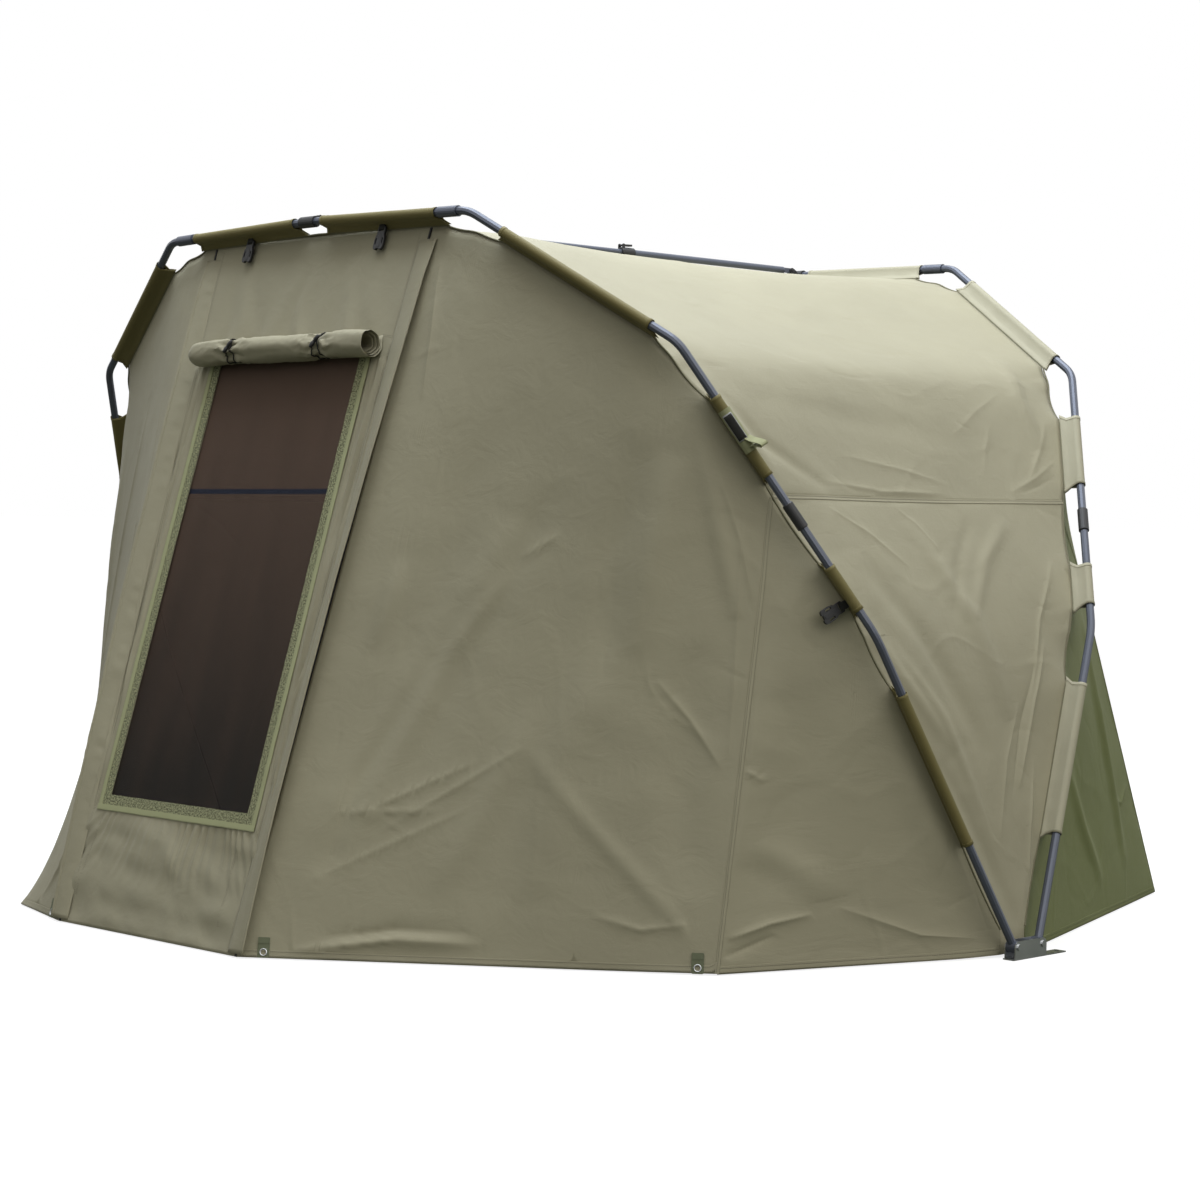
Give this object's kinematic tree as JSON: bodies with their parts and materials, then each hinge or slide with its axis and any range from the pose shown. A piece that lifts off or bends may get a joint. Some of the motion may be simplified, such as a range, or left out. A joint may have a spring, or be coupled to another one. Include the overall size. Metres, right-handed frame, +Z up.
{
  "type": "bivvy tent",
  "caption": "Low tent on folding ribs with ground hubs, a telescopic ridge bar, a sewn skin and a zipped front door with a mesh window.",
  "frame": {"origin": "centre of the overall box on the ground", "axes": "+X to the right seen from the front, front door faces -Y, +Z up"},
  "size_m": [2.9356, 2.4353, 1.6691],
  "materials": {
    "canvas": "woven, coated",
    "mesh": "fine insect mesh",
    "moulding": "moulded, satin black",
    "rear_canvas": "woven, coated",
    "sleeve": "woven, in shade",
    "steel": "pressed, bright",
    "tube": "dark satin",
    "webbing": "woven webbing"
  },
  "bodies": {
    "rear_shelter": {"hub_bracket_left": "steel", "hub_bracket_right": "steel", "rear_centre_joint": "moulding", "rear_centre_wall": "rear_canvas", "rear_ferrule_left": "moulding", "rear_ferrule_right": "moulding", "rear_leg_left": "tube", "rear_leg_right": "tube", "rear_peg_tab_left": "webbing", "rear_peg_tab_right": "webbing", "rear_shoulder_left": "tube", "rear_shoulder_right": "tube", "rear_sleeves_left": "sleeve", "rear_sleeves_right": "sleeve", "rear_top_bar": "tube", "rear_wall_left": "rear_canvas", "rear_wall_right": "rear_canvas", "roof_skin": "canvas", "side_wall_left": "canvas", "side_wall_right": "canvas"},
    "front_frame": {"front_centre_joint": "moulding", "front_corner_left": "canvas", "front_corner_right": "canvas", "front_ferrule_left": "moulding", "front_ferrule_right": "moulding", "front_leg_left": "tube", "front_leg_right": "tube", "front_peg_tab_left": "webbing", "front_peg_tab_right": "webbing", "front_shoulder_left": "tube", "front_shoulder_right": "tube", "front_sleeves_left": "sleeve", "front_sleeves_right": "sleeve", "front_top_bar": "tube", "front_wall_left": "canvas", "front_wall_right": "canvas", "side_peg_tab_left": "webbing", "side_peg_tab_right": "webbing", "tie_strap": "webbing", "zip_track_left": "moulding", "zip_track_right": "moulding"},
    "door": {"door_panel": "canvas", "window_mesh": "mesh", "window_trim": "webbing", "window_cover_roll": "canvas", "roll_toggle_left": "moulding", "roll_toggle_right": "moulding", "storm_flap_left": "canvas", "storm_flap_right": "canvas"},
    "ridge_outer": {"ridge_outer_tube": "tube", "ridge_lock_collar": "moulding"},
    "ridge_lever": {"ridge_lock_lever": "moulding"},
    "ridge_inner": {"ridge_inner_tube": "tube", "ridge_front_hook": "moulding"},
    "zip_slider_left": {"zip_slider_left": "steel"},
    "zip_slider_right": {"zip_slider_right": "steel"},
    "door_buckle_left": {"door_buckle_left": "moulding"},
    "door_buckle_right": {"door_buckle_right": "moulding"},
    "leg_buckle_left": {"leg_buckle_left": "moulding"},
    "leg_buckle_right": {"leg_buckle_right": "moulding"}
  },
  "joints": [
    {"name": "front_rib_fold", "type": "hinge", "parent": "rear_shelter", "child": "front_frame", "pos_m": [0, 0.0602, 0.028], "axis": [-1, 0, 0], "range_deg": [0, 40], "deforming": ["roof_skin", "side_wall_left", "side_wall_right"]},
    {"name": "ridge_bar_lift", "type": "hinge", "parent": "rear_shelter", "child": "ridge_outer", "pos_m": [0, 0.9402, 1.64738], "axis": [-1, 0, 0], "range_deg": [0, 88.5]},
    {"name": "ridge_bar_telescope", "type": "slide", "parent": "ridge_outer", "child": "ridge_inner", "axis": [0, 1, 0], "range_m": [0, 0.35]},
    {"name": "ridge_lever_flip", "type": "hinge", "parent": "ridge_outer", "child": "ridge_lever", "pos_m": [0, 0.27498, 1.66488], "axis": [1, 0, 0], "range_deg": [0, 75]},
    {"name": "door_swing", "type": "hinge", "parent": "front_frame", "child": "door", "pos_m": [0, -0.72771, 1.59484], "axis": [-1, 0, 0], "range_deg": [0, 75]},
    {"name": "door_buckle_swing_left", "type": "hinge", "parent": "front_frame", "child": "door_buckle_left", "pos_m": [-0.2449, -0.73979, 1.60587], "axis": [-1, 0, 0], "range_deg": [0, 75.5]},
    {"name": "door_buckle_swing_right", "type": "hinge", "parent": "front_frame", "child": "door_buckle_right", "pos_m": [0.2449, -0.73979, 1.60587], "axis": [-1, 0, 0], "range_deg": [0, 75.5]},
    {"name": "leg_buckle_swing_left", "type": "hinge", "parent": "front_frame", "child": "leg_buckle_left", "pos_m": [-1.26947, -0.32434, 0.77051], "axis": [-0.2332, 0.4415, -0.8664], "range_deg": [0, 60]},
    {"name": "leg_buckle_swing_right", "type": "hinge", "parent": "front_frame", "child": "leg_buckle_right", "pos_m": [1.26947, -0.32434, 0.77051], "axis": [-0.2332, -0.4415, 0.8664], "range_deg": [0, 60]},
    {"name": "zip_run_left", "type": "slide", "parent": "front_frame", "child": "zip_slider_left", "axis": [-0.0372, 0.2889, 0.9566], "range_m": [0, 1.5]},
    {"name": "zip_run_right", "type": "slide", "parent": "front_frame", "child": "zip_slider_right", "axis": [0.0372, 0.2889, 0.9566], "range_m": [0, 1.5]}
  ],
  "couplings": [
    {"joint": "ridge_bar_lift", "follows": "front_rib_fold", "ratio": 2.2},
    {"joint": "ridge_bar_telescope", "follows": "front_rib_fold", "m_per_rad": 0.5},
    {"joint": "door_buckle_swing_left", "follows": "door_swing", "ratio": 1},
    {"joint": "door_buckle_swing_right", "follows": "door_swing", "ratio": 1}
  ]
}
